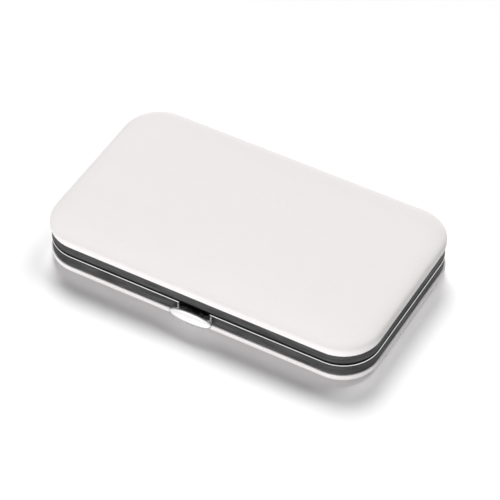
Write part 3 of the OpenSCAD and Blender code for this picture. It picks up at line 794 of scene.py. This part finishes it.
def end_swell(plan, amount, rise):
    """Extra fullness of the padding's side at the two ends of the case."""

    def swell(x, y, height):
        start = plan.core_x * SWELL_FROM
        along = unit((abs(x) - start) / (plan.half_l - start))
        up = math.sin(math.pi * unit(height / rise) ** SWELL_SKEW)
        back = 0.5 + 0.5 * math.sin(math.pi * unit((y + SWELL_FRONT) / SWELL_SPAN))
        return amount * along * up * back

    return swell


def soft_layer(half, sizes, outer, inner, relief=None, swell=None, gap_half=0.0):
    """Builds one soft layer of the lid or the base from its outer and inner stations.

    Within gap_half of the middle of the front, its turned-in edge is cut away for the clasp.
    """

    def to_height(z):
        return sizes.upper_edge + z if half == "lid" else max(sizes.lower_edge - z, 0.0)

    sheet = SoftSheet(Plan(sizes), to_height, relief, gap_half)
    first = sheet.surface(outer, False, swell)
    second = sheet.surface(inner, True)
    sheet.close(first, second)
    return sheet.bm


# All in millimetres. Insets from the frame's face of the covers in the CAD, and of the leather's
# turned-in edge
COVER_INSET = 0.1
FLANGE_INSET = 0.85
# Thickness of each layer, and the gap between two layers
LEATHER = 0.7
FOAM = 1.2
SHELL = 0.8
LINING = 0.32
GAP = 0.05
# How deep the edges are tucked into the channel
TUCK = 1.2
# Half of the cut in the base leather's turned-in edge, which leaves room for the clasp
CLASP_ROOM = 6.2
# Gap between the leather and the frame's edge that it lies on, and a station on the way over it
EDGE_GAP = 0.03
FOLD_INSET = 0.2
# Stations round the leather's outer edge, measured from its outermost face and the frame's edge
EDGE_ROUND = ((0.16, EDGE_GAP), (0.07, 0.12), (0.02, 0.32))
# Height of the leather's upright side below its roll
FOOT = 0.7
# Inside of the leather: top of its turned-in edge, then inset and foot of the roll's inside, and
# what its rise lacks to the crown
EDGE_TOP = 0.72
INSIDE_INSET, INSIDE_FOOT, INSIDE_DROP = COVER_INSET + 0.72, 0.75, LEATHER + 1.0
# Inset of the foam's outer roll, and how far its crown stays below its room
FOAM_INSET, FOAM_SLACK = COVER_INSET + LEATHER + 2 * GAP, 0.3


def raised(path, foot):
    """Stations moved up by a foot."""
    return [(inset, height + foot) for inset, height in path]


def lining_path(sizes, inset, rise):
    """One side of the lining: up out of the channel and over the crown."""
    return [(inset, -TUCK), *crown_path(sizes, inset, rise, sizes.fullness)]


def cover_paths(sizes, fullness):
    """Leather: up out of the channel, out over the frame's edge and over the crown."""
    out = -sizes.overhang
    outer = [(FLANGE_INSET, -TUCK), (FLANGE_INSET, EDGE_GAP), (FOLD_INSET, EDGE_GAP)]
    outer += [(out + step, height) for step, height in EDGE_ROUND]
    outer += raised(crown_path(sizes, out, sizes.crown - FOOT, fullness), FOOT)
    flange = FLANGE_INSET + LEATHER
    inner = [(flange, -TUCK), (flange, EDGE_TOP), (FLANGE_INSET, INSIDE_FOOT)]
    roll = crown_path(sizes, INSIDE_INSET, sizes.crown - INSIDE_DROP, fullness)
    inner += raised(roll[1:], INSIDE_FOOT)
    return outer, inner


class CASE_OT_covers(bpy.types.Operator):
    """Stretches the leather over the lid and the base"""

    bl_idname = "manicure.covers"
    bl_label = "Leather covers"

    def execute(self, context):
        sizes, look = context.scene.case_sizes, context.scene.cover_look
        material = leather_finish(look)
        plan = Plan(sizes)
        for half, node, fullness, dome, bulge, gap in (
            ("lid", "upper_cover", sizes.fullness, look.dome, 0.0, 0.0),
            ("base", "lower_cover", sizes.base_fullness, 0.0, look.side_bulge, CLASP_ROOM),
        ):
            name = half + "_leather"
            outer, inner = cover_paths(sizes, fullness)
            relief = soft_relief(plan, look, name, dome)
            swell = end_swell(plan, bulge, sizes.crown)
            layer = soft_layer(half, sizes, outer, inner, relief, swell, gap)
            piece = riding_piece(name, layer, material, half, "cover_leather", node)
        return {"FINISHED"}


# Tone against the plain steel, and roughness, of the clasp's blackened spring steel
BLACKENED = {"tone": 0.06, "rough": 0.42}


class CASE_OT_frames(bpy.types.Operator):
    """Finishes the two frames, the hinges and the clasp's metal"""

    bl_idname = "manicure.frames"
    bl_label = "Frames and hinges"

    def execute(self, context):
        look, sizes = context.scene.metal_look, context.scene.case_sizes
        dress_slots({
            "frame_metal": gunmetal_finish(look, sizes),
            "hinge_steel": steel_finish("plated_steel", look, tone=1.0, rough=0.26),
            "clasp_black": steel_finish("blackened_steel", look, **BLACKENED),
        })
        return {"FINISHED"}


# How blunt the knob's ends are, 2 is an ellipse
KNOB_FULLNESS = 2.35
# Steps along the knob and round it
KNOB_RINGS, KNOB_AROUND = 56, 48


class CASE_OT_knob(bpy.types.Operator):
    """Turns the almond knob of the clasp"""

    bl_idname = "manicure.knob"
    bl_label = "Clasp knob"

    def execute(self, context):
        material = polished_finish(context.scene.metal_look)
        low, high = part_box("clasp_knob")
        half = (high.x - low.x) / 2
        radius = (high.z - low.z) / 2
        centre = Vector(((low.x + high.x) / 2, low.y + radius, (low.z + high.z) / 2))
        bm = bmesh.new()
        loops = []
        for i in range(KNOB_RINGS + 1):
            x = -half * math.cos(math.pi * i / KNOB_RINGS)
            share = max(1.0 - abs(x / half) ** KNOB_FULLNESS, 0.0) ** (1.0 / KNOB_FULLNESS)
            loop = []
            for j in range(KNOB_AROUND):
                turn = math.tau * j / KNOB_AROUND
                spot = (x, radius * share * math.cos(turn), radius * share * math.sin(turn))
                loop.append(bm.verts.new(centre + Vector(spot)))
            loops.append(loop)
        for left, right in zip(loops, loops[1:]):
            for j in range(KNOB_AROUND):
                k = (j + 1) % KNOB_AROUND
                bm.faces.new([left[j], right[j], right[k], left[k]])
        riding_piece("thumb_knob", bm, material, "clasp", "knob_chrome", "clasp_knob")
        return {"FINISHED"}


# From the middle outwards, in millimetres: the spring leaf's bend, its foot, and the pitch at which
# it is cut across between them.
SPRING_BEND, SPRING_FOOT, SPRING_PITCH = 4.8, 9.4, 0.4


class CASE_OT_spring(bpy.types.Operator):
    """Splits the spring hook into a left and a right half, each cut across between its bend and its
    foot
    """

    bl_idname = "manicure.spring"
    bl_label = "Spring hook"

    def execute(self, context):
        material = steel_finish("spring_steel", context.scene.metal_look, **BLACKENED)
        low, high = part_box("spring_hook")
        y, z = (low.y + high.y) / 2, (low.z + high.z) / 2
        for name, side in (("spring_left", -1.0), ("spring_right", 1.0)):
            piece = new_object(name, self.half_leaf(side), material)
            foot, bend = (side * mm(SPRING_FOOT), y, z), (side * mm(SPRING_BEND), y, z)
            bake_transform(piece)
            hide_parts("spring_hook")
        return {"FINISHED"}

    def half_leaf(self, side):
        """One half of the hook's own mesh, cut across from its bend to its foot."""
        node = frame["nodes"]["spring_hook"]
        bm = bmesh.new()
        for holder in [node, *node.children_recursive]:
            if holder.type == "MESH":
                part = holder.data.copy()
                part.transform(holder.matrix_world)
                bm.from_mesh(part)
                bpy.data.meshes.remove(part)
        bmesh.ops.remove_doubles(bm, verts=bm.verts, dist=WELD)
        middle = self.cut_across(bm, 0.0, side, clear_inner=True)
        rim = [item for item in middle["geom_cut"] if isinstance(item, bmesh.types.BMEdge)]
        bmesh.ops.edgeloop_fill(bm, edges=rim)
        for i in range(round((SPRING_FOOT - SPRING_BEND) / SPRING_PITCH) + 1):
            self.cut_across(bm, side * mm(SPRING_BEND + i * SPRING_PITCH), side)
        bmesh.ops.recalc_face_normals(bm, faces=bm.faces)
        return bm

    def cut_across(self, bm, x, side, clear_inner=False):
        """Cuts the faces at a plane across the leaf, and can clear what lies behind it."""
        return bmesh.ops.bisect_plane(
            bm, geom=[*bm.verts, *bm.edges, *bm.faces], dist=ON_CUT, clear_inner=clear_inner,
            plane_co=(x, 0.0, 0.0), plane_no=(side, 0.0, 0.0),
        )


class CASE_OT_inside(bpy.types.Operator):
    """Lines the case and finishes its tray, shells and foam"""

    bl_idname = "manicure.inside"
    bl_label = "Inside"

    def execute(self, context):
        sizes, look = context.scene.case_sizes, context.scene.cover_look
        cloth, foam = lining_finish(look), foam_finish()
        shell_inset = FLANGE_INSET + LEATHER + GAP
        foam_rise = sizes.crown - LEATHER - GAP
        shell_rise = foam_rise - FOAM - GAP
        lining_inset = shell_inset + SHELL + GAP
        lining_rise = shell_rise - SHELL - GAP
        lining_outer = lining_path(sizes, lining_inset, lining_rise)
        lining_inner = lining_path(sizes, lining_inset + LINING, lining_rise - LINING)
        foam_foot = LEATHER + 2 * GAP
        over_shell = crown_path(sizes, shell_inset - GAP, shell_rise + GAP, sizes.fullness)
        foam_inner = [(shell_inset - GAP, foam_foot)]
        foam_inner += [spot for spot in over_shell if spot[1] > foam_foot]
        for half, side, fullness in (
            ("lid", "upper", sizes.fullness),
            ("base", "lower", sizes.base_fullness),
        ):
            layer = soft_layer(half, sizes, lining_outer, lining_inner)
            riding_piece(half + "_lining", layer, cloth, half, "lining_cloth", side + "_lining")
            roll = crown_path(sizes, FOAM_INSET, foam_rise - foam_foot - FOAM_SLACK, fullness)
            layer = soft_layer(half, sizes, raised(roll, foam_foot), foam_inner)
            piece = riding_piece(half + "_foam", layer, foam, half, "foam", side + "_padding")
        board, flock = board_finish(), flock_finish()
        for node in ("upper_shell", "lower_shell"):
            dress(frame["nodes"][node], board)
        dress(frame["nodes"]["tool_tray"], flock)
        return {"FINISHED"}


class CASE_OT_implements(bpy.types.Operator):
    """Finishes the scissors, clipper, tweezers, file and pusher in the tray"""

    bl_idname = "manicure.implements"
    bl_label = "Implements"

    def execute(self, context):
        look = context.scene.metal_look
        dress_slots({
            "implement_steel": steel_finish("implement_steel", look, tone=0.95, rough=0.22),
            "file_steel": file_finish(),
            "handle_plastic": handle_finish(),
        })
        return {"FINISHED"}


# Stage


# Where each lamp shines from, and its width in degrees
KEY_LEFT, KEY_RIGHT, KEY_SPREAD = (-0.33, 0.48, 0.81), (0.29, 0.46, 0.83), 26.0
FRONT, FRONT_SPREAD = (0.05, -0.99, 0.06), 9.0
# Part of the key light that comes from the left
KEY_SHARE = 0.7
# Half of the floor's width and how far it lies below the case, in metres
FLOOR_HALF, FLOOR_DROP = 4.0, 0.0002
# Width of the camera's sensor in millimetres, and the nearest and farthest that it sees in metres
SENSOR, NEAREST, FARTHEST = 36.0, 0.01, 20.0
# Colour of the even light from all round, and of the background
EVEN_TINT, WHITE = shade(1.0, 0.985, 0.985), shade(1.0, 1.0, 1.0)


def soft_sun(name, toward, strength, spread):
    """A wide, even lamp that shines from a direction."""
    lamp = bpy.data.lights.new(name, "SUN")
    lamp.energy = strength
    lamp.angle = math.radians(spread)
    holder = bpy.data.objects.new(name, lamp)
    holder.rotation_mode = "QUATERNION"
    holder.rotation_quaternion = Vector(toward).to_track_quat("Z", "Y")
    bpy.context.scene.collection.objects.link(holder)


class CASE_OT_stage(bpy.types.Operator):
    """Sets the floor, the light and the camera"""

    bl_idname = "manicure.stage"
    bl_label = "Stage"

    def execute(self, context):
        scene, look = context.scene, context.scene.stage_look
        scene.view_settings.view_transform = "Standard"
        self.lay_floor(look)
        self.light_world(scene, look)
        soft_sun("key_lamp_left", KEY_LEFT, look.key_light * KEY_SHARE, KEY_SPREAD)
        soft_sun("key_lamp_right", KEY_RIGHT, look.key_light * (1.0 - KEY_SHARE), KEY_SPREAD)
        soft_sun("front_lamp", FRONT, look.front_light, FRONT_SPREAD)
        self.place_camera(scene, look)
        return {"FINISHED"}

    def place_camera(self, scene, look):
        """The camera at the photograph's viewing angle."""
        camera = bpy.data.cameras.new("camera")
        camera.sensor_width = SENSOR
        camera.lens = look.lens
        camera.clip_start, camera.clip_end = NEAREST, FARTHEST
        holder = bpy.data.objects.new("camera", camera)
        eye, aim = Vector(look.eye), Vector(look.aim)
        holder.location = eye
        holder.rotation_mode = "QUATERNION"
        holder.rotation_quaternion = (eye - aim).to_track_quat("Z", "Y")
        scene.collection.objects.link(holder)
        scene.camera = holder

    def lay_floor(self, look):
        """A white floor, lifted a little towards white where the camera sees it."""
        made = Finish("white_floor")
        seen = made.add("ShaderNodeLightPath", out="Is Camera Ray")
        material = made.principled({
            "Base Color": shade(0.98, 0.975, 0.98),
            "Roughness": 0.9,
            "Specular IOR Level": 0.0,
            "Emission Color": made.mix(seen, shade(0.0, 0.0, 0.0), WHITE),
            "Emission Strength": look.floor_lift,
        })
        bm = bmesh.new()
        bmesh.ops.create_grid(bm, x_segments=2, y_segments=2, size=FLOOR_HALF)
        bmesh.ops.translate(bm, verts=bm.verts, vec=(0.0, 0.0, -FLOOR_DROP))
        floor = new_object("floor", bm, material)

    def light_world(self, scene, look):
        """Faint even light, and plain white where the camera or a reflection sees the world."""
        scene.world = bpy.data.worlds.new("studio")
        made = Nodes(scene.world, "ShaderNodeOutputWorld")
        camera, glossy, through = (
            made.add("ShaderNodeLightPath", out=ray)
            for ray in ("Is Camera Ray", "Is Glossy Ray", "Is Transmission Ray")
        )
        faint = {"Color": EVEN_TINT, "Strength": look.world_light}
        even = made.add("ShaderNodeBackground", sockets=faint)
        white = made.add("ShaderNodeBackground", sockets={"Color": WHITE})
        seen = camera.most(glossy.most(through))
        made.show(made.add("ShaderNodeMixShader", sockets={0: seen, 1: even, 2: white}))


class CASE_PT_panel(bpy.types.Panel):
    """Shows the case's settings and the buttons of its steps"""

    bl_idname = "CASE_PT_panel"
    bl_label = "Manicure Case"
    bl_space_type = "VIEW_3D"
    bl_region_type = "UI"
    bl_category = "Manicure Case"

    def draw(self, context):
        for group in SETTINGS:
            box = self.layout.box()
            settings = getattr(context.scene, group)
            for field in settings.bl_rna.properties:
                if field.identifier not in ("name", "rna_type"):
                    box.prop(settings, field.identifier)
        for operator in STEPS:
            self.layout.operator(operator.bl_idname)


SETTINGS = {
    "case_sizes": CaseSizes,
    "cover_look": CoverLook,
    "metal_look": MetalLook,
    "stage_look": StageLook,
}
STEPS = (
    CASE_OT_covers,
    CASE_OT_frames,
    CASE_OT_knob,
    CASE_OT_spring,
    CASE_OT_inside,
    CASE_OT_implements,
    CASE_OT_stage,
)


def register():
    for group, kind in SETTINGS.items():
        bpy.utils.register_class(kind)
        setattr(bpy.types.Scene, group, bpy.props.PointerProperty(type=kind))
    for kind in (*STEPS, CASE_PT_panel):
        bpy.utils.register_class(kind)


def unregister():
    for kind in (CASE_PT_panel, *reversed(STEPS)):
        bpy.utils.unregister_class(kind)
    for group, kind in SETTINGS.items():
        delattr(bpy.types.Scene, group)
        bpy.utils.unregister_class(kind)


def main():
    register()
    for operator in STEPS:
        group, name = operator.bl_idname.split(".")
        getattr(getattr(bpy.ops, group), name)()


if __name__ == "__main__":
    main()
